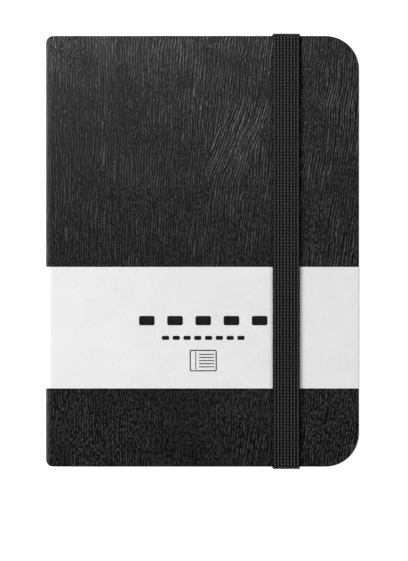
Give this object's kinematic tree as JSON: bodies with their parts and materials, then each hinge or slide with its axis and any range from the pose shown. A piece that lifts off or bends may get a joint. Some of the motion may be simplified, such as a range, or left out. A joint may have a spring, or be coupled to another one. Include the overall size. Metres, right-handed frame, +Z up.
{
  "type": "pocket notebook",
  "caption": "Hardcover pocket notebook with embossed skin, sewn sections, an elastic closure strap and a sliding paper band.",
  "frame": {"origin": "middle of the closed notebook's footprint, on the surface that it lies on", "axes": "+X from the spine to the fore-edge, +Y from the bottom edge to the top edge, +Z up from the back cover to the front cover"},
  "size_m": [0.0804, 0.1112, 0.0148],
  "materials": {
    "greyboard": "pressed grey board",
    "embossed_skin": "black coated skin embossed with a fine wood grain",
    "endpaper": "matt ivory",
    "leaf_paper": "matt ivory, cut edges",
    "lining_gauze": "open weave, glued",
    "thread": "waxed",
    "elastic_webbing": "ribbed woven elastic",
    "band_paper": "smooth white card"
  },
  "bodies": {
    "back_cover": {"back_board": "greyboard", "back_skin": "embossed_skin", "back_pastedown": "endpaper", "back_flyleaf": "endpaper", "section_04": "leaf_paper", "section_05": "leaf_paper", "section_06": "leaf_paper", "section_07": "leaf_paper", "section_08": "leaf_paper", "section_09": "leaf_paper", "section_10": "leaf_paper", "section_11": "leaf_paper", "section_12": "leaf_paper", "elastic_anchor_top": "elastic_webbing", "elastic_anchor_bottom": "elastic_webbing"},
    "spine": {"spine_board": "greyboard", "spine_skin": "embossed_skin", "front_joint_skin": "embossed_skin", "back_joint_skin": "embossed_skin", "spine_lining": "lining_gauze", "sewing_thread": "thread"},
    "front_cover": {"front_board": "greyboard", "front_skin": "embossed_skin", "front_pastedown": "endpaper"},
    "leaves_a": {"front_flyleaf": "endpaper", "section_01": "leaf_paper"},
    "leaves_b": {"section_02": "leaf_paper"},
    "leaves_c": {"section_03": "leaf_paper"},
    "elastic": {"elastic_strap": "elastic_webbing", "elastic_side_top": "elastic_webbing", "elastic_side_bottom": "elastic_webbing"},
    "band_base": {"band_back": "band_paper"},
    "band_middle": {"band_spine": "band_paper", "band_front_fold": "band_paper", "band_back_fold": "band_paper"},
    "band_cover": {"band_front": "band_paper"}
  },
  "joints": [
    {"name": "book_opening", "type": "hinge", "parent": "back_cover", "child": "spine", "pos_m": [-0.03845, 0, 0.00172], "axis": [0, -1, 0], "range_deg": [0, 90], "deforming": ["front_joint_skin", "back_joint_skin", "band_front_fold", "band_back_fold"]},
    {"name": "front_cover_turn", "type": "hinge", "parent": "spine", "child": "front_cover", "pos_m": [-0.03845, 0, 0.01243], "axis": [0, -1, 0], "range_deg": [0, 90]},
    {"name": "leaves_a_turn", "type": "hinge", "parent": "spine", "child": "leaves_a", "pos_m": [-0.03845, 0, 0.01243], "axis": [0, -1, 0], "range_deg": [0, 90]},
    {"name": "leaves_b_turn", "type": "hinge", "parent": "spine", "child": "leaves_b", "pos_m": [-0.03845, 0, 0.01243], "axis": [0, -1, 0], "range_deg": [0, 90]},
    {"name": "leaves_c_turn", "type": "hinge", "parent": "spine", "child": "leaves_c", "pos_m": [-0.03845, 0, 0.01243], "axis": [0, -1, 0], "range_deg": [0, 90]},
    {"name": "elastic_release", "type": "slide", "parent": "back_cover", "child": "elastic", "axis": [1, 0, 0], "range_m": [0, 0.024], "deforming": ["elastic_strap", "elastic_side_top", "elastic_side_bottom"]},
    {"name": "band_slide", "type": "slide", "parent": "back_cover", "child": "band_base", "axis": [0, 1, 0], "range_m": [-0.018, 0.055]},
    {"name": "band_spine_turn", "type": "hinge", "parent": "band_base", "child": "band_middle", "pos_m": [-0.03845, 0, 0.00172], "axis": [0, -1, 0], "range_deg": [0, 90]},
    {"name": "band_front_turn", "type": "hinge", "parent": "band_middle", "child": "band_cover", "pos_m": [-0.03845, 0, 0.01243], "axis": [0, -1, 0], "range_deg": [0, 90]}
  ],
  "couplings": [
    {"joint": "front_cover_turn", "follows": "book_opening", "ratio": 1},
    {"joint": "leaves_a_turn", "follows": "book_opening", "ratio": 0.987},
    {"joint": "leaves_b_turn", "follows": "book_opening", "ratio": 0.968},
    {"joint": "leaves_c_turn", "follows": "book_opening", "ratio": 0.944},
    {"joint": "band_spine_turn", "follows": "book_opening", "ratio": 1},
    {"joint": "band_front_turn", "follows": "book_opening", "ratio": 1}
  ]
}
